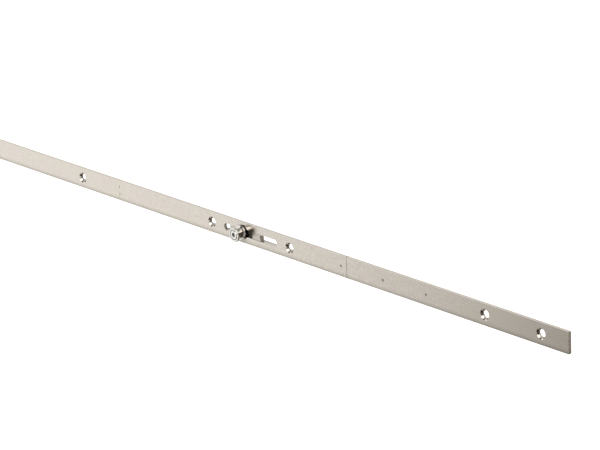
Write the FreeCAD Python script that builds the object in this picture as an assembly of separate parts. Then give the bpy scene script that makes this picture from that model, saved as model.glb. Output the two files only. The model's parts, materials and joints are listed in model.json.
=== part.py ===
import FreeCAD, Part
import math
import os

# Multipoint door lock, in millimetres.
# X runs along the lock, +X towards its lower end on the door.
# Y runs into the door edge, and is drawn from the front of the faceplate.
# Z runs across the faceplate.
# Each piece is then moved so that the origin lies on the faceplate's back,
# where it seats in the door edge, in line with the spindle, at mid-width.

Vector = FreeCAD.Vector

# Running clearances
slide_gap = 0.2            # between flat pieces that slide on each other
side_gap = 0.2             # beside a piece that slides in a slot or opening
journal_gap = 0.05         # radial, round a shaft that turns in its hole
stack_gap = 0.15           # between pieces stacked on one axis
guide_gap = 0.15           # beside a post that runs in a slot
end_gap = 0.7              # left at each end of a slot when the slide is at its limit
seam_gap = 0.3             # between the lengths of the faceplate
cover_gap = 0.25           # between the slide and the case's cover
bolt_gap = 0.3             # between the bolts' heads and the slide
tail_gap = 0.5             # between the latch's tail and the arm that draws it
edge_slop = 0.01           # for finding edges by their place

# Travel
rail_up = 12.0             # the rails move towards +X when the handle is lifted
rail_down = 4.5            # and towards -X when it is pressed
latch_throw = 12.0
bolt_throw = 20.0

# Faceplate
lock_length = 1770.0
plate_width = 16.0
plate_thick = 2.5
plate_edge = 0.3
plate_corner = 0.6
end_plate_length = 211.5
screw_hole_r = 2.75
screw_head_r = 4.15
end_screw_inset = 24.8
end_screw_spacing = 51.5
station_screw_spacing = 85.4
middle_screw_share = 0.655  # of the way from the spindle to a station's middle

# Locking stations
station_inset = 102.7      # from the seam to the middle of the station's screws
slot_length = 58.0
slot_width = 5.3
cam_shift = -9.1           # the cam's axis from the slot's middle

# Cam
cam_head_r = 5.4
cam_head_thick = 1.1
cam_waist_r = 3.9
cam_flange_r = 5.4
cam_flange_thick = 1.0
cam_blend = 0.6            # length of the cone between waist and flange, and waist and head
cam_chamfer = 0.3
cam_core_r = 3.0
cam_lip_r = 3.5
cam_lip_thick = 0.85
cam_lip_gap = 0.25
cam_height = 8.3           # from the faceplate to the face of the pin
cam_head_step = 0.15       # the pin's face stands this far above the roller's
cam_shank_r = 1.75
cam_offset = 0.8           # eccentricity of the pin
cam_socket_flats = 3.0
cam_socket_depth = 2.5
washer_r = 5.2
washer_thick = 0.4
clinch_r = 3.0
clinch_thick = 0.9

# Cam carrier
carrier_front = 21.1       # from the cam's axis to the carrier's +X end
carrier_back = 15.0        # from the cam's axis to its -X end
carrier_pocket = 11.3      # from the cam's axis to the pocket's far wall
carrier_sink = 0.1         # the carrier's front lies this far below the faceplate's
carrier_floor = 1.2        # thickness of the low part
carrier_notch_r = 3.4
carrier_notch_depth = 1.4
carrier_rivet_inset = 4.8  # from the carrier's +X end
carrier_rivet_edge = 2.2   # from the carrier's -X end
carrier_margin = 1.0       # rail left past the carrier's -X end, up to the window
carrier_overhang = 2.4     # the carrier's +X end, past the rail under it
pad_length = 4.6
pad_thick = 0.4
rivet_r = 1.2
rivet_head_r = 2.2
rivet_head_thick = 0.8
rivet_grip = 1.6           # how far a rivet reaches into a solid block

# Drive rails
rail_inset = 2.0           # from the faceplate's edges to the rail's
rail_thick = 2.0
rail_corner = 1.2          # on the rails, the guides' heads and the splice plates
rail_end_margin = 3.0      # rail past the window at its end
screw_slot_width = 5.6

# Rail guides
guide_shares = (0.3956, 0.7348)  # of the way from the spindle to a station's middle
guide_stem_length = 4.0
guide_stem_width = 7.4
guide_head_length = 16.0
guide_head_width = 11.0
guide_head_thick = 1.2
lug_spacing = 5.8
lug_length = 0.8
lug_width = 1.8
lug_sink = 0.1

# Splice plates
splice_near = 26.7         # reach under the main faceplate
splice_far = 96.0          # reach under the end faceplate
splice_width = 12.0
splice_thick = 2.0
peg_r = 1.0
peg_sink = 0.25
peg_near = 5.7             # from the seam to the peg in the main faceplate
peg_mid = 36.9             # from the seam to the pegs in the end faceplate
peg_far = 79.4

# Case
case_above = 52.0          # from the spindle to the case's -X end
case_end_margin = 15.4     # from the cylinder's opening to the case's +X end
case_behind = 16.0         # from the spindle to the back of the case
case_width = 15.5
case_sheet = 1.2
case_wall = 1.5
case_corner = 3.0
backset = 35.0
post_r = 2.5
post_shank_r = 1.8
top_post_inset = 7.0       # from the case's -X end
low_post_inset = 10.0      # from its +X end
back_post_gap = 3.0        # between the back row of posts and the back wall
back_post_shift = 2.0      # the lowest post of the back row stands this far out
bolt_post_step = 24.0      # from the deadbolt towards the spindle
top_screw_inset = 8.0      # from the case's -X end
low_screw_inset = 6.0      # from its +X end
middle_case_screw = 30.0   # from the spindle
case_screw_r = 2.0
case_screw_core_r = 1.65
case_screw_head_r = 3.8
case_screw_length = 6.0
case_screw_sink = 0.1
case_screw_slot = 0.8
case_screw_slot_depth = 0.9

# Cylinder opening
cylinder_distance = 92.0   # from the spindle to the round part's axis
cylinder_r = 8.6
cylinder_tail_width = 10.4
cylinder_tail_reach = 24.6
cylinder_screw_shift = 13.0
cylinder_screw_r = 2.65
cylinder_screw_head_r = 4.8

# Rack and sector
tooth_module = 2.0
pitch_teeth = 16           # teeth on a full circle
pressure_angle = 20.0
tooth_addendum = 1.6
tooth_dedendum = 2.0
tooth_backlash = 0.2
tooth_root = 0.6           # a tooth of the sector starts this far inside its rim
rim_overrun = 0.7          # share of a tooth's step that the rim runs on past the last tooth
rack_teeth = 7
sector_teeth = 6
slide_thick = 2.0
slide_depth = 7.6
rack_margin = 4.0

# Couplers between the slide and the rails
coupler_gap = 3.0          # left between coupler and case at the end of travel
coupler_length = 26.0
coupler_depth = 7.8
coupler_width = 8.3
coupler_pin_r = 1.5
coupler_pin_head_r = 2.3
coupler_pin_head_thick = 0.6
coupler_pin_spacing = 10.0

# Followers
spindle_square = 8.1
journal_r = 8.0
hub_r = 10.0
journal_recess = 0.15      # the journal ends this far inside the case's face
arm_thick = 2.0
arm_reach = 20.0
arm_half_swing = 17.5
arm_root_width = 9.0
arm_tip_r = 4.0
drive_pin_r = 2.0

# Latch bolt
latch_place = -28.0
latch_height = 16.0
latch_head_back = 22.0
latch_tip_thick = 2.2
latch_nose = 0.6           # flat that eases the tip of the bevel
latch_bevel_back = -0.8
latch_collar = 1.6
latch_collar_thick = 3.0
latch_back_gap = 13.5      # between the latch's tail and the back wall
latch_tail_left = 6.0      # from the latch's middle line
latch_tail_right = 14.0
latch_tail_thick = 3.0
spring_thick = 0.5
spring_width = 2.4
spring_length = 18.0
spring_foot = 0.75         # length of the strip's flat end along the back wall

# Deadbolt
bolt_cylinder_step = 30.0  # from the deadbolt's middle to the cylinder's axis
bolt_height = 30.0
bolt_head_back = 26.0
bolt_chamfer = 0.6
bolt_back_gap = 3.5        # between the deadbolt's tail and the back wall
bolt_tail_half = 10.0
bolt_tail_thick = 3.0
bolt_prong_reach = 22.0
bolt_prong_width = 4.5
guide_post_r = 2.0
guide_post_inset = 13.5    # from the spindle's line towards the faceplate

# Worked out from the driving dimensions
half_length = lock_length / 2
half_plate = plate_width / 2
seam = half_length - end_plate_length
rail_front = plate_thick + slide_gap
rail_back = rail_front + rail_thick
rail_width = plate_width - 2 * rail_inset
case_depth = backset + case_behind
case_below = cylinder_distance + cylinder_tail_reach + case_end_margin
inner_side = case_width / 2 - case_sheet
inner_front = plate_thick + case_wall
inner_back = case_depth - case_wall
pitch_r = tooth_module * pitch_teeth / 2
pitch_line = backset - pitch_r
slide_front = rail_back + slide_gap
slide_back = slide_front + slide_depth
slide_middle = (slide_front + slide_back) / 2
slide_top = inner_side - cover_gap
slide_low = slide_top - slide_thick
bolt_thick = 2 * (slide_low - bolt_gap)
latch_tail_low = -slide_top + arm_thick + tail_gap
latch_tail_back = inner_back - latch_back_gap
bolt_tail_back = inner_back - bolt_back_gap
bolt_place = cylinder_distance - bolt_cylinder_step
guide_post_place = backset - guide_post_inset
top_post_place = -case_above + top_post_inset
low_post_place = case_below - low_post_inset
case_screw_places = [-case_above + top_screw_inset, middle_case_screw, case_below - low_screw_inset]
stations = {
    "lower": seam - station_inset,
    "upper": station_inset - seam,
}
middle_screw_place = stations["lower"] * middle_screw_share
guide_places = [stations["lower"] * share for share in guide_shares]


def block(x0, x1, y0, y1, z0, z1):
    return Part.makeBox(x1 - x0, y1 - y0, z1 - z0, Vector(x0, y0, z0))


def rod_y(x, z, r, y0, y1):
    return Part.makeCylinder(r, y1 - y0, Vector(x, y0, z), Vector(0, 1, 0))


def rod_z(x, y, r, z0, z1):
    return Part.makeCylinder(r, z1 - z0, Vector(x, y, z0), Vector(0, 0, 1))


def countersink(x, z, head_r, hole_r):
    """A 90 degree countersink in the faceplate's front."""
    depth = head_r - hole_r
    return Part.makeCone(head_r, hole_r, depth, Vector(x, 0, z), Vector(0, 1, 0))


def slot_y(x0, x1, width, y0, y1):
    """A slot along X with round ends, cut through in Y."""
    r = width / 2
    straight = block(x0 + r, x1 - r, y0, y1, -r, r)
    return straight.fuse([rod_y(x0 + r, 0, r, y0, y1), rod_y(x1 - r, 0, r, y0, y1)])


def slot_z(x0, x1, y, width, z0, z1):
    """A slot along X with round ends, cut through in Z."""
    r = width / 2
    straight = block(x0 + r, x1 - r, y - r, y + r, z0, z1)
    return straight.fuse([rod_z(x0 + r, y, r, z0, z1), rod_z(x1 - r, y, r, z0, z1)])


def plate(points, z0, z1):
    """A flat plate from an outline in X and Y."""
    outline = Part.makePolygon([Vector(x, y, z0) for x, y in points + points[:1]])
    return Part.Face(outline).extrude(Vector(0, 0, z1 - z0))


def turned(wire, x):
    """A piece turned about the Y axis and set at x."""
    solid = Part.Face(wire).revolve(Vector(0, 0, 0), Vector(0, 1, 0), 360)
    solid = Part.Solid(solid) if solid.ShapeType == "Shell" else solid
    solid.translate(Vector(x, 0, 0))
    return solid


def line(a, b):
    return Part.LineSegment(Vector(*a, 0), Vector(*b, 0)).toShape()


def arc(a, middle, b):
    return Part.Arc(Vector(*a, 0), Vector(*middle, 0), Vector(*b, 0)).toShape()


def path(points):
    return [line(a, b) for a, b in zip(points, points[1:])]


def edges_along(shape, axis, test):
    """Straight edges along one axis whose middle passes a test."""
    found = []
    for edge in shape.Edges:
        if edge.Curve.TypeId != "Part::GeomLine":
            continue
        direction = edge.tangentAt(edge.FirstParameter)
        if abs(direction.dot(axis)) > 0.999 and test(edge.CenterOfMass):
            found.append(edge)
    return found


def seated(shape):
    """Moved from the front of the faceplate to its back."""
    moved = shape.copy()
    moved.translate(Vector(0, -plate_thick, 0))
    return moved


def save(name, shape):
    seated(shape.removeSplitter()).exportStep("parts/" + name + ".step")


def group(name, solids):
    seated(Part.makeCompound(solids)).exportStep("parts/" + name + ".step")


# Faceplate

def strip(x0, x1, round_ends):
    """A length of the faceplate: eased long edges and rounded free corners."""
    body = block(x0, x1, 0, plate_thick, -half_plate, half_plate)
    corners = edges_along(body, Vector(0, 1, 0), lambda c: any(abs(c.x - x) < edge_slop for x in round_ends))
    if corners:
        body = body.makeFillet(plate_corner, corners)
    long_edges = edges_along(body, Vector(1, 0, 0), lambda c: c.y < plate_thick / 2)
    return body.makeFillet(plate_edge, long_edges)


def screw_hole(x):
    hole = rod_y(x, 0, screw_hole_r, 0, plate_thick)
    return hole.fuse(countersink(x, 0, screw_head_r, screw_hole_r))


def lug_places(x):
    return [(x, lug_spacing / 2), (x, -lug_spacing / 2)]


def lug(x, z, y0):
    return block(x - lug_length / 2, x + lug_length / 2, y0, plate_thick,
                 z - lug_width / 2, z + lug_width / 2)


def station_screws(middle):
    return [middle - station_screw_spacing / 2, middle + station_screw_spacing / 2]


def main_screws():
    places = [-middle_screw_place, middle_screw_place]
    for middle in stations.values():
        places += station_screws(middle)
    return places


def station_slot(middle):
    return slot_y(middle - slot_length / 2, middle + slot_length / 2, slot_width, 0, plate_thick)


def bolt_opening(centre, height, y0, y1):
    half = height / 2 + side_gap
    across = bolt_thick / 2 + side_gap
    return block(centre - half, centre + half, y0, y1, -across, across)


def guide_xs():
    return [side * x for side in (-1, 1) for x in guide_places]


def main_faceplate():
    half = seam - seam_gap / 2
    body = strip(-half, half, ())
    cuts = [screw_hole(x) for x in main_screws()]
    cuts += [station_slot(middle) for middle in stations.values()]
    cuts += [rod_y(side * (seam - peg_near), 0, peg_r, 0, plate_thick) for side in (-1, 1)]
    cuts += [lug(x, z, 0) for guide in guide_xs() for x, z in lug_places(guide)]
    cuts.append(bolt_opening(latch_place, latch_height, 0, plate_thick))
    cuts.append(bolt_opening(bolt_place, bolt_height, 0, plate_thick))
    for x in case_screw_places:
        cuts.append(rod_y(x, 0, case_screw_r, 0, plate_thick))
        cuts.append(countersink(x, 0, case_screw_head_r + case_screw_sink, case_screw_r))
    x = cylinder_distance + cylinder_screw_shift
    cuts.append(rod_y(x, 0, cylinder_screw_r, 0, plate_thick))
    cuts.append(countersink(x, 0, cylinder_screw_head_r, cylinder_screw_r))
    save("main_faceplate", body.cut(cuts))


def end_faceplate(name, side):
    near = side * (seam + seam_gap / 2)
    far = side * half_length
    body = strip(min(near, far), max(near, far), (far,))
    outer = half_length - end_screw_inset
    cuts = [screw_hole(side * outer), screw_hole(side * (outer - end_screw_spacing))]
    cuts += [rod_y(side * (seam + reach), 0, peg_r, 0, plate_thick) for reach in (peg_mid, peg_far)]
    save(name + "_end_faceplate", body.cut(cuts))


def splice_plate(name, side):
    """Plate behind the seam, with pegs staked through both lengths."""
    a = side * (seam - splice_near)
    b = side * (seam + splice_far)
    half = splice_width / 2
    body = block(min(a, b), max(a, b), plate_thick, plate_thick + splice_thick, -half, half)
    corners = edges_along(body, Vector(0, 1, 0), lambda c: True)
    body = body.makeFillet(rail_corner, corners)
    pegs = [rod_y(side * (seam + reach), 0, peg_r, peg_sink, plate_thick)
            for reach in (-peg_near, peg_mid, peg_far)]
    save(name + "_splice_plate", body.fuse(pegs))


def rail_guide(x):
    """A stud through a slot in the rail, with a wide head behind it."""
    head_y = rail_back + slide_gap
    stem = block(x - guide_stem_length / 2, x + guide_stem_length / 2, plate_thick, head_y,
                 -guide_stem_width / 2, guide_stem_width / 2)
    head = block(x - guide_head_length / 2, x + guide_head_length / 2,
                 head_y, head_y + guide_head_thick, -guide_head_width / 2, guide_head_width / 2)
    corners = edges_along(head, Vector(0, 1, 0), lambda c: True)
    head = head.makeFillet(rail_corner, corners)
    lugs = [lug(px, pz, lug_sink) for px, pz in lug_places(x)]
    return stem.fuse([head] + lugs).removeSplitter()


def rail_guides(name, side):
    group(name + "_rail_guides", [rail_guide(side * x) for x in guide_places])


# Drive rails

def travel_slot(x, reach, width):
    """A slot in the rail that clears a fixed thing at x over the whole travel."""
    return slot_y(x - reach - rail_up, x + reach + rail_down, width, rail_front, rail_back)


def coupler_span(side):
    """Near and far end of a coupler along X."""
    if side > 0:
        near = case_below + rail_down + coupler_gap
        return near, near + coupler_length
    near = -case_above - rail_up - coupler_gap
    return near - coupler_length, near


def cam_axis(middle):
    return middle + cam_shift


def carrier_span(middle):
    axis = cam_axis(middle)
    return axis - carrier_back, axis + carrier_front


def carrier_rivet_xs(middle):
    low, high = carrier_span(middle)
    return [low + carrier_rivet_edge, high - carrier_rivet_inset]


def coupler_rivet_xs(side):
    low, high = coupler_span(side)
    return [low + coupler_length / 4, high - coupler_length / 4]


def window_ends(name):
    """Ends of the rail's two windows at a station, which clear both screws."""
    first, second = station_screws(stations[name])
    reach = screw_hole_r + end_gap
    return first - reach - rail_up, second + reach + rail_down


def rail_span(name, side):
    low, high = window_ends(name)
    near, far = coupler_span(side)
    if side > 0:
        return near, high + rail_end_margin
    return low - rail_end_margin, far


def slot_windows(name):
    """Windows that leave the faceplate's slot open on both sides of the carrier."""
    start, end = window_ends(name)
    low, high = carrier_span(stations[name])
    edge = high - carrier_overhang
    half = screw_slot_width / 2
    return [slot_y(start, low - carrier_margin, screw_slot_width, rail_front, rail_back),
            slot_y(edge, end, screw_slot_width, rail_front, rail_back),
            block(edge, edge + half, rail_front, rail_back, -half, half)]


def drive_rail(name, side):
    x0, x1 = rail_span(name, side)
    half = rail_width / 2
    body = block(x0, x1, rail_front, rail_back, -half, half)
    corners = edges_along(body, Vector(0, 1, 0), lambda c: True)
    body = body.makeFillet(rail_corner, corners)
    cuts = slot_windows(name)
    cuts.append(travel_slot(side * middle_screw_place, screw_slot_width / 2 + end_gap, screw_slot_width))
    for place in guide_places:
        reach = guide_stem_length / 2 + end_gap
        cuts.append(block(side * place - reach - rail_up, side * place + reach + rail_down,
                          rail_front, rail_back, -guide_stem_width / 2 - side_gap,
                          guide_stem_width / 2 + side_gap))
    cuts.append(rod_y(cam_axis(stations[name]) - cam_offset, 0, cam_shank_r + journal_gap,
                      rail_front, rail_back))
    cuts += [rod_y(x, 0, rivet_r, rail_front, rail_back) for x in carrier_rivet_xs(stations[name])]
    cuts += [rod_y(x, 0, rivet_r, rail_front, rail_back) for x in coupler_rivet_xs(side)]
    save(name + "_drive_rail", body.cut(cuts))


def cam_carrier(name):
    """Block in the faceplate's slot: flush at one end, low under the cam."""
    middle = stations[name]
    axis = cam_axis(middle)
    low, high = carrier_span(middle)
    half = slot_width / 2 - side_gap
    body = block(low, high, carrier_sink, rail_front, -half, half)
    step = axis + carrier_pocket
    cuts = [block(low, step, carrier_sink, rail_front - carrier_floor, -half, half)]
    notch_x = high - carrier_notch_depth + carrier_notch_r
    cuts.append(rod_y(notch_x, 0, carrier_notch_r, carrier_sink, rail_front))
    cuts.append(rod_y(axis - cam_offset, 0, cam_shank_r + journal_gap, carrier_sink, rail_front))
    first, second = carrier_rivet_xs(middle)
    cuts.append(rod_y(first, 0, rivet_r, rail_front - carrier_floor, rail_front))
    cuts.append(rod_y(second, 0, rivet_r, rail_front - rivet_grip, rail_front))
    body = body.cut(cuts).removeSplitter()
    round_end = edges_along(body, Vector(0, 1, 0), lambda c: abs(c.x - low) < edge_slop)
    save(name + "_cam_carrier", body.makeFillet(half - side_gap, round_end))


def carrier_pad(name):
    """Dark pad on the floor of the pocket beside the cam."""
    far = cam_axis(stations[name]) + carrier_pocket
    half = slot_width / 2 - side_gap
    top = rail_front - carrier_floor
    body = block(far - pad_length, far, top - pad_thick, top, -half, half)
    save(name + "_carrier_pad", body)


def rivet(x, y0):
    """A rivet from y0 to a clinched head behind the rail."""
    head = Part.makeCone(rivet_head_r, rivet_r, rivet_head_thick, Vector(x, rail_back, 0), Vector(0, 1, 0))
    return rod_y(x, 0, rivet_r, y0, rail_back).fuse(head).removeSplitter()


def carrier_rivets():
    solids = []
    for middle in stations.values():
        first, second = carrier_rivet_xs(middle)
        solids.append(rivet(first, rail_front - carrier_floor))
        solids.append(rivet(second, rail_front - rivet_grip))
    group("carrier_rivets", solids)


# Cams

def cam_base():
    """Height of the roller's lower face in front of the faceplate."""
    return stack_gap + washer_thick + stack_gap


def cam_washer(name):
    x = cam_axis(stations[name]) - cam_offset
    ring = rod_y(x, 0, washer_r, -stack_gap - washer_thick, -stack_gap)
    save(name + "_cam_washer", ring.cut(rod_y(x, 0, cam_shank_r, -1, 0)))


def cam_pin(name):
    """Eccentric pin: the shank turns in the carrier, the roller on the core."""
    axis = cam_axis(stations[name])
    core_y = -stack_gap - washer_thick
    lip_y = -cam_height + cam_lip_thick
    edges = path([
        (0, core_y), (cam_core_r, core_y), (cam_core_r, lip_y), (cam_lip_r, lip_y),
        (cam_lip_r, -cam_height + cam_chamfer), (cam_lip_r - cam_chamfer, -cam_height),
        (0, -cam_height), (0, core_y),
    ])
    core = turned(Part.Wire(edges), axis)
    corner_r = cam_socket_flats / 2 / math.cos(math.pi / 6)
    turns = [math.radians(60 * k) for k in range(7)]
    corners = [Vector(axis + corner_r * math.cos(t), -cam_height, corner_r * math.sin(t)) for t in turns]
    socket = Part.Face(Part.makePolygon(corners)).extrude(Vector(0, cam_socket_depth, 0))
    clinch_y = rail_back + journal_gap
    shank = rod_y(axis - cam_offset, 0, cam_shank_r, core_y, clinch_y)
    clinch = Part.makeCone(clinch_r, clinch_r - cam_chamfer, clinch_thick,
                           Vector(axis - cam_offset, clinch_y, 0), Vector(0, 1, 0))
    save(name + "_cam_pin", core.cut(socket).fuse([shank, clinch]))


def cam_roller(name):
    """Spool with a wide head, a waist and a base flange."""
    base = -cam_base()
    face = -cam_height + cam_head_step
    head_low = face + cam_head_thick
    flange_top = base - cam_flange_thick
    bore = cam_core_r + journal_gap
    counter = cam_lip_r + cam_lip_gap
    counter_y = -cam_height + cam_lip_thick + 2 * journal_gap
    edges = path([
        (bore, base), (cam_flange_r - cam_chamfer, base), (cam_flange_r, base - cam_chamfer),
        (cam_flange_r, flange_top), (cam_waist_r, flange_top - cam_blend),
        (cam_waist_r, head_low + cam_blend), (cam_head_r, head_low), (cam_head_r, face + cam_chamfer),
        (cam_head_r - cam_chamfer, face), (counter, face), (counter, counter_y),
        (bore, counter_y), (bore, base),
    ])
    save(name + "_cam_roller", turned(Part.Wire(edges), cam_axis(stations[name])))


# Rack slide and its couplers

def rack_outline():
    """Toothed edge of the slide, from -X to +X."""
    pitch = math.pi * tooth_module
    slope = math.tan(math.radians(pressure_angle))
    half = (pitch - tooth_backlash) / 4
    root_y = pitch_line - tooth_dedendum
    tip_y = pitch_line + tooth_addendum
    points = []
    for k in range(rack_teeth):
        x = (k - rack_teeth / 2 - 0.5 + 1) * pitch - rack_shift()
        points += [(x - half - tooth_dedendum * slope, root_y), (x - half + tooth_addendum * slope, tip_y),
                   (x + half - tooth_addendum * slope, tip_y), (x + half + tooth_dedendum * slope, root_y)]
    return points


def rack_shift():
    """Sets a tooth space at the line of centres, with the rack centred on its travel."""
    pitch = math.pi * tooth_module
    wanted = (rail_up - rail_down) / 2
    steps = round((wanted + pitch / 2 * (rack_teeth % 2)) / pitch)
    return steps * pitch - pitch / 2 * (rack_teeth % 2)


def case_post_xs():
    return [top_post_place, low_post_place]


def rack_slide():
    low = coupler_span(-1)[0] + side_gap
    high = coupler_span(1)[1] - side_gap
    teeth = rack_outline()
    first = teeth[0][0] - rack_margin
    last = teeth[-1][0] + rack_margin
    root_y = teeth[0][1]
    outline = [(low, slide_front), (low, slide_back), (first - rack_margin, slide_back), (first, root_y)]
    outline += teeth
    outline += [(last, root_y), (last + rack_margin, slide_back), (high, slide_back), (high, slide_front)]
    body = plate(outline, slide_low, slide_top)
    cuts = []
    for x in case_post_xs():
        reach = post_r + end_gap
        cuts.append(slot_z(x - reach - rail_up, x + reach + rail_down, slide_middle,
                           2 * (post_r + guide_gap), slide_low, slide_top))
    for side in (-1, 1):
        cuts += [rod_z(x, slide_middle, coupler_pin_r, slide_low, slide_top) for x in coupler_pin_xs(side)]
    save("rack_slide", body.cut(cuts))


def coupler_pin_xs(side):
    low, high = coupler_span(side)
    middle = (low + high) / 2
    return [middle - coupler_pin_spacing / 2, middle + coupler_pin_spacing / 2]


def rail_coupler(name, side):
    """Block riveted behind the rail, pinned to the end of the slide."""
    low, high = coupler_span(side)
    body = block(low, high, rail_back, rail_back + coupler_depth, slide_low - coupler_width, slide_low)
    back = edges_along(body, Vector(0, 0, 1), lambda c: c.y > rail_back + coupler_depth / 2)
    body = body.makeFillet(case_corner / 2, back)
    cuts = [rod_z(x, slide_middle, coupler_pin_r, slide_low - 2 * rivet_grip, slide_low)
            for x in coupler_pin_xs(side)]
    cuts += [rod_y(x, 0, rivet_r, rail_back, rail_back + rivet_grip) for x in coupler_rivet_xs(side)]
    save(name + "_rail_coupler", body.cut(cuts))


def coupler_pins():
    """Pins with a low head on the slide, driven into the couplers."""
    solids = []
    for side in (-1, 1):
        for x in coupler_pin_xs(side):
            shank = rod_z(x, slide_middle, coupler_pin_r, slide_low - 2 * rivet_grip, slide_top)
            head = rod_z(x, slide_middle, coupler_pin_head_r, slide_top, slide_top + coupler_pin_head_thick)
            solids.append(shank.fuse(head).removeSplitter())
    group("coupler_pins", solids)


def coupler_rivets():
    """Flush rivets from the rail's front into the couplers."""
    solids = [rod_y(x, 0, rivet_r, rail_front, rail_back + rivet_grip)
              for side in (-1, 1) for x in coupler_rivet_xs(side)]
    group("coupler_rivets", solids)


# Followers

def hub(z_outer, z_inner, z_step):
    """Journal from the case's face to z_step, then a wider hub to z_inner."""
    low, high = sorted((z_outer, z_inner))
    wide_low, wide_high = sorted((z_step, z_inner))
    body = rod_z(0, backset, journal_r, low, high).fuse(rod_z(0, backset, hub_r, wide_low, wide_high))
    return body.removeSplitter()


def spindle_hole():
    half = spindle_square / 2
    return block(-half, half, backset - half, backset + half, -case_width, case_width)


def involute_flank(base_r, from_r, to_r, turn, side):
    """Points on one flank of a tooth whose middle line is at angle turn."""
    pitch_roll = math.tan(math.radians(pressure_angle)) - math.radians(pressure_angle)
    half = (math.pi * tooth_module - tooth_backlash) / 4 / pitch_r
    points = []
    steps = 4
    for k in range(steps + 1):
        r = from_r + (to_r - from_r) * k / steps
        press = math.acos(min(1.0, base_r / r))
        roll = math.tan(press) - press
        angle = turn + side * (half + pitch_roll - roll)
        points.append(Vector(r * math.cos(angle), backset + r * math.sin(angle), slide_low))
    return points


def sector_tooth(turn):
    """One tooth, rooted a little inside the sector's rim."""
    base_r = pitch_r * math.cos(math.radians(pressure_angle))
    tip_r = pitch_r + tooth_addendum
    foot_r = pitch_r - tooth_dedendum - tooth_root
    flanks = []
    for side in (-1, 1):
        curve = Part.BSplineCurve()
        points = involute_flank(base_r, base_r, tip_r, turn, side)
        curve.interpolate(points)
        inner = points[0] - Vector(0, backset, slide_low)
        foot = inner * (foot_r / inner.Length) + Vector(0, backset, slide_low)
        flanks.append((foot, points, curve))
    (foot_a, a, curve_a), (foot_b, b, curve_b) = flanks
    tip = Vector(tip_r * math.cos(turn), backset + tip_r * math.sin(turn), slide_low)
    edges = [
        Part.LineSegment(foot_a, a[0]).toShape(), curve_a.toShape(),
        Part.Arc(a[-1], tip, b[-1]).toShape(), curve_b.toShape(),
        Part.LineSegment(b[0], foot_b).toShape(), Part.LineSegment(foot_b, foot_a).toShape(),
    ]
    face = Part.Face(Part.Wire(Part.__sortEdges__(edges)))
    return face.extrude(Vector(0, 0, slide_thick))


def gear_follower():
    """Square-holed hub with the toothed sector that drives the slide."""
    step = 360 / pitch_teeth
    turns = [math.radians(-90 + step * (k - sector_teeth // 2)) for k in range(sector_teeth)]
    rim_r = pitch_r - tooth_dedendum
    first = turns[0] - math.radians(step * rim_overrun)
    last = turns[-1] + math.radians(step * rim_overrun)
    centre = Vector(0, backset, slide_low)
    start = centre + Vector(rim_r * math.cos(first), rim_r * math.sin(first), 0)
    end = centre + Vector(rim_r * math.cos(last), rim_r * math.sin(last), 0)
    middle = (first + last) / 2
    top = centre + Vector(rim_r * math.cos(middle), rim_r * math.sin(middle), 0)
    rim = Part.Wire([Part.LineSegment(centre, start).toShape(), Part.Arc(start, top, end).toShape(),
                     Part.LineSegment(end, centre).toShape()])
    sector = Part.Face(rim).extrude(Vector(0, 0, slide_thick))
    body = hub(case_width / 2 - journal_recess, stack_gap, slide_top)
    body = body.fuse([sector] + [sector_tooth(turn) for turn in turns])
    save("gear_follower", body.cut(spindle_hole()))


def arm_tip():
    """Where the latch follower's drive pin stands at rest."""
    swing = math.radians(180 + arm_half_swing)
    return arm_reach * math.cos(swing), backset + arm_reach * math.sin(swing)


def latch_follower():
    """Square-holed hub with the arm that draws the latch back."""
    low = -slide_top
    tip_x, tip_y = arm_tip()
    body = hub(-case_width / 2 + journal_recess, -stack_gap, -slide_top)
    tip = rod_z(tip_x, tip_y, arm_tip_r, low, low + arm_thick)
    length = math.hypot(tip_x, tip_y - backset)
    ux, uy = tip_x / length, (tip_y - backset) / length
    root = arm_root_width / 2
    outline = [(-uy * root, backset + ux * root), (tip_x - uy * arm_tip_r, tip_y + ux * arm_tip_r),
               (tip_x + uy * arm_tip_r, tip_y - ux * arm_tip_r), (uy * root, backset - ux * root)]
    arm = plate(outline, low, low + arm_thick)
    body = body.fuse([arm, tip])
    hole = rod_z(tip_x, tip_y, drive_pin_r, low, low + arm_thick)
    save("latch_follower", body.cut([spindle_hole(), hole]))


def latch_drive_pin():
    tip_x, tip_y = arm_tip()
    top = latch_tail_low + latch_tail_thick + side_gap
    save("latch_drive_pin", rod_z(tip_x, tip_y, drive_pin_r, -slide_top, top))


# Latch bolt

def latch_bolt():
    """Bevelled head, stop collar, and a tail with a slot for the drive pin."""
    half = bolt_thick / 2
    x0 = latch_place - latch_height / 2
    x1 = latch_place + latch_height / 2
    profile = [
        Vector(x0, latch_head_back, -half), Vector(x0, latch_head_back, half),
        Vector(x0, latch_bevel_back, half),
        Vector(x0, -latch_throw + latch_nose, -half + latch_tip_thick),
        Vector(x0, -latch_throw, -half + latch_tip_thick - latch_nose),
        Vector(x0, -latch_throw, -half),
    ]
    head = Part.Face(Part.makePolygon(profile + profile[:1])).extrude(Vector(latch_height, 0, 0))
    collar_y = inner_front + slide_gap
    collar = block(x0 - latch_collar, x1 + latch_collar, collar_y, collar_y + latch_collar_thick,
                   -half, half)
    tip_y = arm_tip()[1]
    left = latch_place - latch_tail_left
    right = latch_place + latch_tail_right
    tail_high = latch_tail_low + latch_tail_thick
    tail = block(left, right, latch_head_back, latch_tail_back, latch_tail_low, tail_high)
    slot_start = -arm_reach - drive_pin_r - guide_gap
    slot_r = drive_pin_r + guide_gap
    slot = block(slot_start + slot_r, right, tip_y - slot_r, tip_y + slot_r, latch_tail_low, tail_high)
    slot_end = rod_z(slot_start + slot_r, tip_y, slot_r, latch_tail_low, tail_high)
    save("latch_bolt", head.fuse([collar, tail]).cut([slot, slot_end]))


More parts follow.
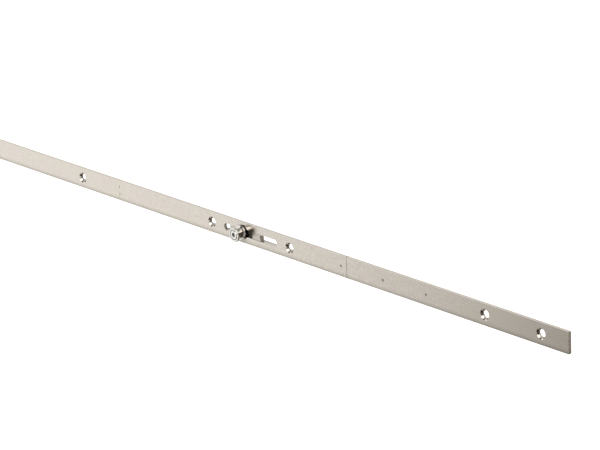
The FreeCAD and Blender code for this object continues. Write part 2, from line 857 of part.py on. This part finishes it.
def latch_spring():
    """Bowed strip spring between the latch's tail and the back of the case."""
    front = latch_tail_back + slide_gap
    back = inner_back - slide_gap
    middle = latch_place + (latch_tail_right - latch_tail_left) / 2
    half = spring_length / 2
    outer = [(middle - half, back), (middle, front), (middle + half, back)]
    inner = [(middle - half + spring_foot, back), (middle, front + spring_thick),
             (middle + half - spring_foot, back)]
    edges = [arc(*outer), line(outer[2], inner[2]), arc(*inner), line(inner[0], outer[0])]
    body = Part.Face(Part.Wire(Part.__sortEdges__(edges))).extrude(Vector(0, 0, spring_width))
    body.translate(Vector(0, 0, latch_tail_low + (latch_tail_thick - spring_width) / 2))
    save("latch_spring", body)


# Deadbolt

def deadbolt():
    """Head, slotted tail and the notch that the cylinder's cam works in."""
    half = bolt_thick / 2
    x0 = bolt_place - bolt_height / 2
    x1 = bolt_place + bolt_height / 2
    head = block(x0, x1, 0, bolt_head_back, -half, half)
    head = head.makeChamfer(bolt_chamfer, [e for e in head.Edges if e.CenterOfMass.y < edge_slop])
    tail_half = bolt_tail_thick / 2
    tail = block(bolt_place - bolt_tail_half, bolt_place + bolt_tail_half,
                 bolt_head_back, bolt_tail_back, -tail_half, tail_half)
    prongs = [block(bolt_place + bolt_tail_half, bolt_place + bolt_prong_reach,
                    y, y + bolt_prong_width, -tail_half, tail_half)
              for y in (bolt_head_back, bolt_tail_back - bolt_prong_width)]
    slot_r = guide_post_r + guide_gap
    y0 = guide_post_place
    y1 = guide_post_place + bolt_throw
    slot = block(bolt_place - slot_r, bolt_place + slot_r, y0, y1, -half, half)
    ends = [rod_z(bolt_place, y, slot_r, -half, half) for y in (y0, y1)]
    body = head.fuse([tail] + prongs).cut([slot] + ends)
    save("deadbolt", body)


# Case

def cylinder_opening(z0, z1):
    """Round part and tail of the profile cylinder's opening."""
    tail_r = cylinder_tail_width / 2
    end = cylinder_distance + cylinder_tail_reach
    opening = rod_z(cylinder_distance, backset, cylinder_r, z0, z1)
    tail = slot_z(cylinder_distance - tail_r, end, backset, cylinder_tail_width, z0, z1)
    return opening.fuse(tail)


def post_places():
    places = [(x, slide_middle) for x in case_post_xs()]
    back = inner_back - post_r - back_post_gap
    places += [(top_post_place, back), (bolt_place - bolt_post_step, back),
               (low_post_place + back_post_shift, back)]
    return places


def post_holes(z0, z1):
    return [rod_z(x, y, post_shank_r, z0, z1) for x, y in post_places()]


def case_openings(z0, z1):
    return [rod_z(0, backset, journal_r + journal_gap, z0, z1), cylinder_opening(z0, z1)]


def case_base():
    """Tray: one side of the case with all four walls."""
    side = case_width / 2
    body = block(-case_above, case_below, plate_thick, case_depth, -side, inner_side)
    back = edges_along(body, Vector(0, 0, 1), lambda c: c.y > backset)
    body = body.makeFillet(case_corner, back)
    cavity = block(-case_above + case_wall, case_below - case_wall, inner_front, inner_back,
                   -inner_side, inner_side)
    back = edges_along(cavity, Vector(0, 0, 1), lambda c: c.y > backset)
    cavity = cavity.makeFillet(case_corner - case_wall, back)
    cuts = [cavity] + case_openings(-side, -inner_side)
    cuts += post_holes(-side, -inner_side)
    notch_y0 = slide_front - 2 * side_gap
    notch_y1 = slide_back + 2 * side_gap
    cuts.append(block(-case_above, case_below, notch_y0, notch_y1, slide_low - 2 * side_gap, inner_side))
    cuts.append(bolt_opening(latch_place, latch_height, plate_thick, inner_front))
    cuts.append(bolt_opening(bolt_place, bolt_height, plate_thick, inner_front))
    cuts += [rod_y(x, 0, case_screw_core_r, plate_thick, inner_front) for x in case_screw_places]
    cuts.append(rod_y(cylinder_distance + cylinder_screw_shift, 0, cylinder_screw_r,
                      plate_thick, inner_front))
    save("case_base", body.cut(cuts))


def case_cover():
    """Flat plate that closes the tray."""
    side = case_width / 2
    body = block(-case_above, case_below, plate_thick, case_depth, inner_side, side)
    back = edges_along(body, Vector(0, 0, 1), lambda c: c.y > backset)
    body = body.makeFillet(case_corner, back)
    cuts = case_openings(inner_side, side)
    cuts += post_holes(inner_side, side)
    save("case_cover", body.cut(cuts))


def case_posts():
    """Shouldered posts, with their shanks riveted flush in both sides."""
    side = case_width / 2
    solids = []
    for x, y in post_places():
        post = rod_z(x, y, post_r, -inner_side, inner_side)
        solids.append(post.fuse(rod_z(x, y, post_shank_r, -side, side)).removeSplitter())
    group("case_posts", solids)


def bolt_guide_post():
    """Post that the deadbolt's slot runs on."""
    save("bolt_guide_post", rod_z(bolt_place, guide_post_place, guide_post_r, -inner_side, inner_side))


def case_screws():
    """Countersunk screws that hold the case to the faceplate."""
    solids = []
    for x in case_screw_places:
        cone_depth = case_screw_head_r - case_screw_core_r
        cone = Part.makeCone(case_screw_head_r, case_screw_core_r, cone_depth,
                             Vector(x, case_screw_sink, 0), Vector(0, 1, 0))
        shank = rod_y(x, 0, case_screw_core_r, case_screw_sink, case_screw_length)
        slot = block(x - case_screw_head_r, x + case_screw_head_r, case_screw_sink,
                     case_screw_sink + case_screw_slot_depth, -case_screw_slot / 2, case_screw_slot / 2)
        solids.append(cone.fuse(shank).cut(slot).removeSplitter())
    group("case_screws", solids)


os.makedirs("parts", exist_ok=True)
main_faceplate()
for name, side in (("lower", 1), ("upper", -1)):
    end_faceplate(name, side)
    splice_plate(name, side)
    rail_guides(name, side)
    drive_rail(name, side)
    rail_coupler(name, side)
    cam_carrier(name)
    carrier_pad(name)
    cam_washer(name)
    cam_pin(name)
    cam_roller(name)
carrier_rivets()
rack_slide()
coupler_pins()
coupler_rivets()
gear_follower()
latch_follower()
latch_drive_pin()
latch_bolt()
latch_spring()
deadbolt()
case_base()
case_cover()
case_posts()
bolt_guide_post()
case_screws()
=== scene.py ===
import json
import math
from collections import namedtuple

import bpy
from mathutils import Matrix, Vector


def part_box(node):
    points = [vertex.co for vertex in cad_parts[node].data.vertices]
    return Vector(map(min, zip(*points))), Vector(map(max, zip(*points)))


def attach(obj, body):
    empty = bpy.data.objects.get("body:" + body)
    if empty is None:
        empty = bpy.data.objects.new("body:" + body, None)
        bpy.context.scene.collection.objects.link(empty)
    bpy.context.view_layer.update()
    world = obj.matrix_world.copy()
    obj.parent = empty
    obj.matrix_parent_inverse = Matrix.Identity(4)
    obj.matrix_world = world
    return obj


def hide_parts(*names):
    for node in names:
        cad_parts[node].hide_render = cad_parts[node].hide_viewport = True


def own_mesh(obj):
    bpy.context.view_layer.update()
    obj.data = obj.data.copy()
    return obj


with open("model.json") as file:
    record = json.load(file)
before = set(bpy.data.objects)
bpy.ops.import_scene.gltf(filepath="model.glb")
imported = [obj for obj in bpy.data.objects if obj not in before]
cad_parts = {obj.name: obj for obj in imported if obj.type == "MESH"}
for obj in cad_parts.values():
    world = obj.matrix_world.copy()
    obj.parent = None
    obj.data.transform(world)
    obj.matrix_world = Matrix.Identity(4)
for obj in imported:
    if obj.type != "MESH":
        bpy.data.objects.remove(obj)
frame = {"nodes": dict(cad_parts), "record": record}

MM = 0.001
RIGHT = (1.0, 0.0, 0.0)
BACK = (0.0, 1.0, 0.0)
UP = (0.0, 0.0, 1.0)
WHITE = (1.0, 1.0, 1.0)

# The photograph's camera

PHOTO_WIDTH = 600                    # pixels
FOCAL_PIXELS = 2874.95
CAMERA_PLACE = (1.18688, -1.27151, 0.71554)  # from the lower end, the plate's front and mid-width
CAMERA_RIGHT = (0.67207, 0.73912, -0.04579)
CAMERA_UP = (-0.22247, 0.26045, 0.93955)
SENSOR_WIDTH = 36.0                  # millimetres
CLIP_START = 0.05                    # metres
CLIP_END = 50.0

# Edges

MERGE_DISTANCE = 0.0005              # millimetres; corners that lie nearer are one
FLAT_ANGLE = math.radians(0.4)       # facets that turn by less are one face
SHARP_ANGLE = math.radians(30.0)     # edges that turn by more are eased
EASE_SEGMENTS = 2

# Patterns of the finishes

EVEN = (1.0, 1.0, 1.0)               # a pattern that isn't drawn out along any axis
NOISE_RANGE = (0.3, 0.7)             # holds most of a noise pattern's values
OPENNESS_SAMPLES = 8
COLOUR_A, COLOUR_B, COLOUR_OUT = 6, 7, 2  # a mix node's sockets for colours

# The light tent, which only reflections show. Its brightest patch counts in each direction, and a patch
# is the product of its fades. A fade goes by the cosine from its axis: the edge says where it starts and
# ends, and the levels are those before and after it.

Fade = namedtuple("Fade", "axis edge levels")
TENT = {
    "left side": (
        Fade((-1.0, 0.10, 0.0), (0.522, 0.625), (0.0, 1.0)),
        Fade(BACK, (0.30, 0.60), (1.0, 0.74)),
        Fade(UP, (-0.85, -0.70), (0.0, 1.0)),
    ),
    "box over the camera": (Fade((0.35, -0.72, 0.60), (0.88, 0.95), (0.0, 1.0)),),
    "front panel": (Fade((0.05, -0.99, -0.12), (0.77, 0.95), (0.0, 0.50)),),
    "strip light right of the camera": (Fade((0.365, -0.903, -0.225), (0.93, 0.975), (0.0, 1.0)),),
    "table under the camera": (Fade((-0.35, -0.35, -0.87), (0.91, 0.955), (0.0, 0.60)),),
    "ceiling": (Fade(UP, (0.70, 0.92), (0.0, 0.75)),),
    "glow at the back": (Fade(BACK, (-0.15, 0.40), (0.0, 0.26)),),
    "back panel": (
        Fade(RIGHT, (0.25, 0.55), (1.0, 0.0)),
        Fade(BACK, (0.62, 0.80), (0.0, 0.80)),
    ),
}
BOX_GAIN = 0.9                       # how much the box over the camera outshines white
DARK_COLOUR = (0.035, 0.027, 0.022)  # the tent at level 0; at level 1 it is white
WARM_LEVEL = 0.42
WARM_COLOUR = (0.41, 0.39, 0.355)    # the tent at the warm level, on the way to white
AMBIENT = (0.55, 0.55, 0.55)         # what matt surfaces get from all round

# Floor and lamps, in metres

FLOOR_SIZE = 8.0
FLOOR_MIDDLE = 0.3                   # along the strip
FLOOR_COLOUR = (0.80, 0.80, 0.79)
FLOOR_GLOW = 0.82                    # lifts the floor to white for the camera
LAMP_TARGET = (0.6, 0.0, 0.0)

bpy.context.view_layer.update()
record = frame["record"]
slot_of = {entry["node"]: entry["material_slot"] for entry in record["subparts"]}
body_of = {node: body for body, nodes in record["behaviour"]["bodies"].items() for node in nodes}
strip_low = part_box("main_faceplate")[0]
lower_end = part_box("lower_end_faceplate")[1].x


# Node helpers

class Nodes:
    """The nodes of a material or of the world. Most methods add one kind of node and give its output."""

    def __init__(self, owner):
        owner.use_nodes = True
        self.tree = owner.node_tree

    def add(self, kind):
        return self.tree.nodes.new("ShaderNode" + kind)

    def feed(self, socket, value):
        """Fills a socket with another node's output, a colour or a number."""
        if isinstance(value, bpy.types.NodeSocket):
            self.tree.links.new(value, socket)
        elif isinstance(value, tuple):
            socket.default_value = (*value, 1.0)
        else:
            socket.default_value = value

    def spread(self, value, edge, levels=(0.0, 1.0), curve="LINEAR"):
        """Change from the first level to the second while the value crosses the edge."""
        node = self.add("MapRange")
        node.interpolation_type = curve
        node.inputs["From Min"].default_value, node.inputs["From Max"].default_value = edge
        node.inputs["To Min"].default_value, node.inputs["To Max"].default_value = levels
        self.feed(node.inputs["Value"], value)
        return node.outputs["Result"]

    def faded(self, direction, fade):
        """Smooth change by the cosine between the direction and the fade's axis."""
        node = self.add("VectorMath")
        node.operation = "DOT_PRODUCT"
        node.inputs[1].default_value = Vector(fade.axis).normalized()
        self.feed(node.inputs[0], direction)
        return self.spread(node.outputs["Value"], fade.edge, fade.levels, "SMOOTHSTEP")

    def reckon(self, operation, *values):
        """The values taken together by one operation, two at a time."""
        total, *others = values
        for other in others:
            node = self.add("Math")
            node.operation = operation
            self.feed(node.inputs[0], total)
            self.feed(node.inputs[1], other)
            total = node.outputs["Value"]
        return total

    def blend(self, share, first, second, kind="MIX"):
        """Mix of two colours, each a triple or an output."""
        node = self.add("Mix")
        node.data_type = "RGBA"
        node.blend_type = kind
        self.feed(node.inputs["Factor"], share)
        self.feed(node.inputs[COLOUR_A], first)
        self.feed(node.inputs[COLOUR_B], second)
        return node.outputs[COLOUR_OUT]

    def shader_blend(self, share, first, second):
        """Mix of two shaders."""
        node = self.add("MixShader")
        for socket, value in zip(node.inputs, (share, first, second)):
            self.feed(socket, value)
        return node.outputs["Shader"]

    def rays(self):
        """Two outputs: 1 for rays that come straight from the camera, and 1 for reflected rays."""
        kinds = self.add("LightPath").outputs
        straight = self.reckon("MAXIMUM", kinds["Is Camera Ray"], kinds["Is Transmission Ray"])
        return straight, kinds["Is Glossy Ray"]


class Finish(Nodes):
    """A material and what makes up its surface. Its patterns are sized in millimetres."""

    def __init__(self, name, metal=True):
        self.material = bpy.data.materials.new(name)
        super().__init__(self.material)
        self.shader = self.tree.nodes["Principled BSDF"]
        self.feed(self.shader.inputs["Metallic"], 1.0 if metal else 0.0)
        self.place = self.add("TexCoord").outputs["Object"]

    def stretched(self, drawn):
        """Coordinates in millimetres, drawn out along the axes by the factors given."""
        node = self.add("Mapping")
        node.inputs["Scale"].default_value = [1 / MM / factor for factor in drawn]
        self.feed(node.inputs["Vector"], self.place)
        return node.outputs["Vector"]

    def noise(self, drawn, scale, detail=3.0, rough=0.5):
        node = self.add("TexNoise")
        self.feed(node.inputs["Scale"], scale)
        self.feed(node.inputs["Detail"], detail)
        self.feed(node.inputs["Roughness"], rough)
        self.feed(node.inputs["Vector"], self.stretched(drawn))
        return node.outputs["Fac"]

    def cells(self, drawn, scale):
        node = self.add("TexVoronoi")
        self.feed(node.inputs["Scale"], scale)
        self.feed(node.inputs["Vector"], self.stretched(drawn))
        return node.outputs["Distance"]

    def openness(self, reach):
        """1 where the surface lies open, less where something stands within the reach in millimetres."""
        node = self.add("AmbientOcclusion")
        node.samples = OPENNESS_SAMPLES
        self.feed(node.inputs["Distance"], reach * MM)
        return node.outputs["AO"]

    def multiplied(self, first, second):
        return self.blend(1.0, first, second, "MULTIPLY")

    def colour(self, value):
        self.feed(self.shader.inputs["Base Color"], value)

    def roughness(self, value):
        self.feed(self.shader.inputs["Roughness"], value)

    def relief(self, *layers):
        """Bump layers, each (height, depth in millimetres)."""
        normal = None
        for height, depth in layers:
            node = self.add("Bump")
            self.feed(node.inputs["Strength"], 1.0)
            self.feed(node.inputs["Distance"], depth * MM)
            self.feed(node.inputs["Height"], height)
            if normal:
                self.feed(node.inputs["Normal"], normal)
            normal = node.outputs["Normal"]
        self.feed(self.shader.inputs["Normal"], normal)


# Finishes

def nickel_silver_plate(name):
    """Satin plating: faint lengthwise grain, soft blotches, fine scratches, and painted shade in the
    corners and recesses.
    """
    yellow, rose = (0.810, 0.755, 0.665), (0.825, 0.758, 0.695)
    grain_shade = (0.94, 0.94, 0.94)
    # colour of the painted shade in the slot's walls, the countersinks and beside what stands on the
    # plate
    painted_shade_colour = (0.42, 0.41, 0.38)
    look = Finish(name)
    blotch = look.noise(drawn=(2.4, 1.0, 1.0), scale=0.11, detail=4.0)
    grain = look.noise(drawn=(60.0, 1.0, 1.0), scale=5.0, detail=5.0, rough=0.6)
    wear = look.noise(drawn=EVEN, scale=0.6, detail=6.0, rough=0.65)
    streaks = look.noise(drawn=(14.0, 1.0, 1.0), scale=2.6, detail=8.0, rough=0.7)
    scratch = look.spread(streaks, edge=(0.62, 0.70))
    tint = look.blend(look.spread(blotch, edge=(0.35, 0.68)), yellow, rose)
    shade = look.blend(look.spread(grain, edge=NOISE_RANGE), grain_shade, WHITE)
    # painted shade: the colour darkens where something stands within 5 mm
    painted_recess_shade = look.blend(look.spread(look.openness(reach=5.0), edge=(0.32, 0.85)), painted_shade_colour, WHITE)
    look.colour(look.multiplied(look.multiplied(tint, shade), painted_recess_shade))
    look.roughness(look.spread(wear, edge=NOISE_RANGE, levels=(0.17, 0.27)))
    look.relief((grain, 0.003), (scratch, 0.003), (wear, 0.005))
    return look.material


def zinc_sheet(name, light, dark, smoothest, roughest, drawn=(18.0, 1.0, 1.0)):
    """Zinc-plated sheet: rolled grain, cloudy plating and small handling marks."""
    cloud_share, rolled_share = 0.65, 0.35
    look = Finish(name)
    cloud = look.noise(drawn=(1.6, 1.0, 1.0), scale=0.16, detail=5.0, rough=0.6)
    rolled = look.noise(drawn, scale=3.2, detail=4.0)
    clouds = look.reckon("MULTIPLY", cloud, cloud_share)
    mottle = look.reckon("ADD", clouds, look.reckon("MULTIPLY", rolled, rolled_share))
    look.colour(look.blend(look.spread(mottle, edge=(0.36, 0.64)), dark, light))
    look.roughness(look.spread(cloud, edge=NOISE_RANGE, levels=(roughest, smoothest)))
    specks = look.spread(look.cells(drawn=EVEN, scale=1.1), edge=(0.05, 0.22))
    look.relief((rolled, 0.010), (specks, 0.003))
    return look.material


def die_cast(name, light, dark):
    """Tumbled zinc casting: a fine pebbled skin and wide soft patches."""
    look = Finish(name)
    pebble = look.noise(drawn=EVEN, scale=1.6, detail=6.0, rough=0.62)
    patch = look.noise(drawn=EVEN, scale=0.42)
    look.colour(look.blend(look.spread(patch, edge=(0.32, 0.66)), dark, light))
    look.roughness(look.spread(pebble, edge=NOISE_RANGE, levels=(0.22, 0.36)))
    look.relief((pebble, 0.012), (patch, 0.020))
    return look.material


def polished(name, light, dark, smoothest, roughest):
    """Turned and polished plating with a few hairlines, and painted shade in its recesses."""
    # colour of the painted shade in recesses such as the hex socket and the waist between flanges
    recess_shade_colour = (0.10, 0.09, 0.08)
    look = Finish(name)
    cloud = look.noise(drawn=EVEN, scale=0.5, detail=4.0)
    clean = look.blend(look.spread(cloud, edge=NOISE_RANGE), dark, light)
    # painted shade: the colour darkens where something stands within 2.5 mm
    look.colour(look.blend(look.spread(look.openness(reach=2.5), edge=(0.12, 0.68)), recess_shade_colour, clean))
    hair = look.noise(drawn=(1.0, 0.12, 1.0), scale=2.2, detail=6.0, rough=0.6)
    look.roughness(look.spread(hair, edge=NOISE_RANGE, levels=(smoothest, roughest)))
    look.relief((hair, 0.004))
    return look.material


def nylon(name, light, dark):
    """Moulded nylon with a fine spark-eroded skin."""
    look = Finish(name, metal=False)
    skin = look.noise(drawn=EVEN, scale=3.5, detail=5.0)
    look.colour(look.blend(look.spread(skin, edge=NOISE_RANGE), dark, light))
    look.roughness(look.spread(skin, edge=NOISE_RANGE, levels=(0.45, 0.65)))
    look.relief((skin, 0.02))
    return look.material


def blued_strip(name, light, dark):
    """Blued spring strip with a rolled grain."""
    look = Finish(name)
    heat = look.noise(drawn=EVEN, scale=0.3)
    look.colour(look.blend(look.spread(heat, edge=NOISE_RANGE), dark, light))
    look.roughness(0.3)
    look.relief((look.noise(drawn=(12.0, 1.0, 1.0), scale=4.0), 0.008))
    return look.material


finishes = {
    "faceplate_steel": nickel_silver_plate("satin_nickel_silver"),
    "splice_steel": zinc_sheet("splice_zinc", light=(0.56, 0.55, 0.52), dark=(0.42, 0.41, 0.38),
                               smoothest=0.28, roughest=0.42),
    "rail_steel": zinc_sheet("rail_zinc", light=(0.58, 0.58, 0.56), dark=(0.44, 0.44, 0.42),
                             smoothest=0.25, roughest=0.40, drawn=(40.0, 1.0, 1.0)),
    "case_steel": zinc_sheet("case_zinc", light=(0.59, 0.59, 0.58), dark=(0.51, 0.515, 0.505),
                             smoothest=0.30, roughest=0.42),
    "cast_zinc": die_cast("tumbled_zinc", light=(0.77, 0.725, 0.65), dark=(0.71, 0.665, 0.595)),
    "fastener_steel": zinc_sheet("fastener_zinc", light=(0.66, 0.65, 0.62), dark=(0.50, 0.49, 0.45),
                                 smoothest=0.22, roughest=0.34, drawn=EVEN),
    "polished_nickel": polished("polished_nickel", light=(0.86, 0.84, 0.80), dark=(0.76, 0.74, 0.70),
                                smoothest=0.10, roughest=0.18),
    "washer_steel": polished("washer_steel", light=(0.44, 0.44, 0.42), dark=(0.32, 0.32, 0.30),
                             smoothest=0.25, roughest=0.40),
    "black_nylon": nylon("black_nylon", light=(0.080, 0.078, 0.062), dark=(0.045, 0.045, 0.036)),
    "bolt_nickel": polished("bolt_nickel", light=(0.74, 0.72, 0.68), dark=(0.68, 0.66, 0.62),
                            smoothest=0.16, roughest=0.24),
    "spring_steel": blued_strip("blued_strip", light=(0.22, 0.22, 0.24), dark=(0.10, 0.13, 0.20)),
}


# Pieces

def only(obj):
    """Selects one object and no other."""
    bpy.ops.object.select_all(action="DESELECT")
    obj.hide_set(False)
    obj.select_set(True)
    bpy.context.view_layer.objects.active = obj


def standing_free(node):
    """A copy of a node's object, with its place in its mesh."""
    only(frame["nodes"][node])
    bpy.ops.object.duplicate()
    piece = bpy.context.view_layer.objects.active
    matrix = piece.matrix_world.copy()
    piece.parent = None
    piece.matrix_world = matrix
    only(piece)
    bpy.ops.object.transform_apply(location=True, rotation=True, scale=True)
    return piece


def merge_facets():
    """Joins the facets of the active piece into whole faces."""
    bpy.ops.object.mode_set(mode="EDIT")
    bpy.ops.mesh.select_all(action="SELECT")
    bpy.ops.mesh.remove_doubles(threshold=MERGE_DISTANCE * MM)
    bpy.ops.mesh.dissolve_limited(angle_limit=FLAT_ANGLE)
    bpy.ops.object.mode_set(mode="OBJECT")


def ease(piece, width):
    """Rounds the sharp edges over the width given in millimetres, and shades the rest smooth."""
    bevel = piece.modifiers.new("ease", "BEVEL")
    bevel.width = width * MM
    bevel.segments = EASE_SEGMENTS
    bevel.limit_method = "ANGLE"
    bevel.angle_limit = SHARP_ANGLE
    bpy.ops.object.modifier_apply(modifier="ease")
    bpy.ops.object.shade_smooth_by_angle(angle=SHARP_ANGLE)
    even = piece.modifiers.new("even", "WEIGHTED_NORMAL")
    even.keep_sharp = True
    bpy.ops.object.modifier_apply(modifier="even")


def dress(node, width):
    """Makes the piece that stands for a node, with eased edges and its finish."""
    obj = standing_free(node)
    merge_facets()
    ease(obj, width)
    obj.name = node + "_dressed"
    obj.data.name = obj.name
    obj.data.materials.clear()
    obj.data.materials.append(finishes[slot_of[node]])
    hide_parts(node)
    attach(obj, body_of[node])


# Width of the round on each piece's edges, in millimetres: first the pieces that both ends have
EASE_AT_ENDS = {
    "end_faceplate": 0.06, "splice_plate": 0.10, "rail_guides": 0.10, "drive_rail": 0.12,
    "rail_coupler": 0.25, "cam_carrier": 0.10, "cam_pin": 0.08, "cam_roller": 0.10,
    "cam_washer": 0.08, "carrier_pad": 0.08,
}
EASE = {
    "main_faceplate": 0.06, "carrier_rivets": 0.06, "coupler_pins": 0.08, "coupler_rivets": 0.06,
    "case_base": 0.15, "case_cover": 0.15, "case_screws": 0.08, "case_posts": 0.06,
    "rack_slide": 0.10, "gear_follower": 0.12, "latch_follower": 0.15, "latch_drive_pin": 0.15,
    "latch_bolt": 0.25, "latch_spring": 0.05, "deadbolt": 0.20, "bolt_guide_post": 0.10,
}
for end in ("lower", "upper"):
    for piece, width in EASE_AT_ENDS.items():
        dress(f"{end}_{piece}", width)
for node, width in EASE.items():
    dress(node, width)


def latch_spring_folds():
    """Gives the bowed strip a mesh of its own."""
    spring = bpy.data.objects["latch_spring_dressed"]
    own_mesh(spring)


latch_spring_folds()


# Studio

def studio_floor():
    """White to the camera, with the object's soft shadow; reflections look through it at the tent."""
    bpy.ops.object.select_all(action="DESELECT")
    bpy.ops.mesh.primitive_plane_add(size=FLOOR_SIZE, location=(FLOOR_MIDDLE, 0.0, strip_low.z))
    floor = bpy.context.view_layer.objects.active
    floor.name = "studio_floor"
    material = bpy.data.materials.new("studio_floor")
    surface = Nodes(material)
    surface.tree.nodes.remove(surface.tree.nodes["Principled BSDF"])
    straight, reflected = surface.rays()
    matt = surface.add("BsdfDiffuse")
    surface.feed(matt.inputs["Color"], FLOOR_COLOUR)
    glow = surface.add("Emission")
    surface.feed(glow.inputs["Strength"], FLOOR_GLOW)
    lifted = surface.add("AddShader")
    surface.feed(lifted.inputs[0], matt.outputs["BSDF"])
    surface.feed(lifted.inputs[1], glow.outputs["Emission"])
    solid = surface.shader_blend(straight, matt.outputs["BSDF"], lifted.outputs["Shader"])
    through = surface.add("BsdfTransparent").outputs["BSDF"]
    shown = surface.shader_blend(reflected, solid, through)
    surface.feed(surface.tree.nodes["Material Output"].inputs["Surface"], shown)
    floor.data.materials.append(material)


def studio_world():
    """White to the camera, an even grey to matt surfaces, and the light tent in reflections."""
    world = bpy.data.worlds.new("studio")
    bpy.context.scene.world = world
    sky = Nodes(world)
    direction = sky.add("TexCoord").outputs["Generated"]
    patches = {}
    for name, fades in TENT.items():
        patches[name] = sky.reckon("MULTIPLY", *(sky.faded(direction, fade) for fade in fades))
    tones = sky.add("ValToRGB")
    tones.color_ramp.elements[0].color = (*DARK_COLOUR, 1.0)
    tones.color_ramp.elements.new(WARM_LEVEL).color = (*WARM_COLOUR, 1.0)
    sky.feed(tones.inputs["Fac"], sky.reckon("MAXIMUM", *patches.values()))
    straight, reflected = sky.rays()
    indirect = sky.blend(reflected, AMBIENT, tones.outputs["Color"])
    background = sky.tree.nodes["Background"]
    sky.feed(background.inputs["Color"], sky.blend(straight, indirect, WHITE))
    box = sky.reckon("MULTIPLY", patches["box over the camera"], reflected)
    strength = sky.spread(box, edge=(0.0, 1.0), levels=(1.0, 1.0 + BOX_GAIN), curve="SMOOTHSTEP")
    sky.feed(background.inputs["Strength"], strength)


def lamp(name, place, size, power):
    """A square lamp that lights the lower end and that reflections don't show."""
    data = bpy.data.lights.new(name, "AREA")
    data.shape = "SQUARE"
    data.size = size
    data.energy = power
    obj = bpy.data.objects.new(name, data)
    obj.location = place
    obj.rotation_euler = (Vector(LAMP_TARGET) - Vector(place)).to_track_quat("-Z", "Y").to_euler()
    obj.visible_glossy = False
    bpy.context.scene.collection.objects.link(obj)


def camera():
    """The photograph's view: fitted to the strip's edges, its taper and its round holes."""
    right = Vector(CAMERA_RIGHT)
    up = Vector(CAMERA_UP)
    turn = Matrix((right, up, right.cross(up).normalized())).transposed()
    data = bpy.data.cameras.new("photo_view")
    data.sensor_width = SENSOR_WIDTH
    data.lens = FOCAL_PIXELS * SENSOR_WIDTH / PHOTO_WIDTH
    data.clip_start = CLIP_START
    data.clip_end = CLIP_END
    obj = bpy.data.objects.new("photo_view", data)
    place = Vector((lower_end, strip_low.y, 0.0)) + Vector(CAMERA_PLACE)
    obj.matrix_world = Matrix.Translation(place) @ turn.to_4x4()
    bpy.context.scene.collection.objects.link(obj)
    bpy.context.scene.camera = obj


studio_floor()
studio_world()
lamp("key", place=(0.2, -1.0, 1.6), size=1.2, power=10.0)
lamp("fill", place=(1.4, 0.9, 1.2), size=1.0, power=8.0)
camera()
bpy.context.scene.view_settings.view_transform = "Standard"
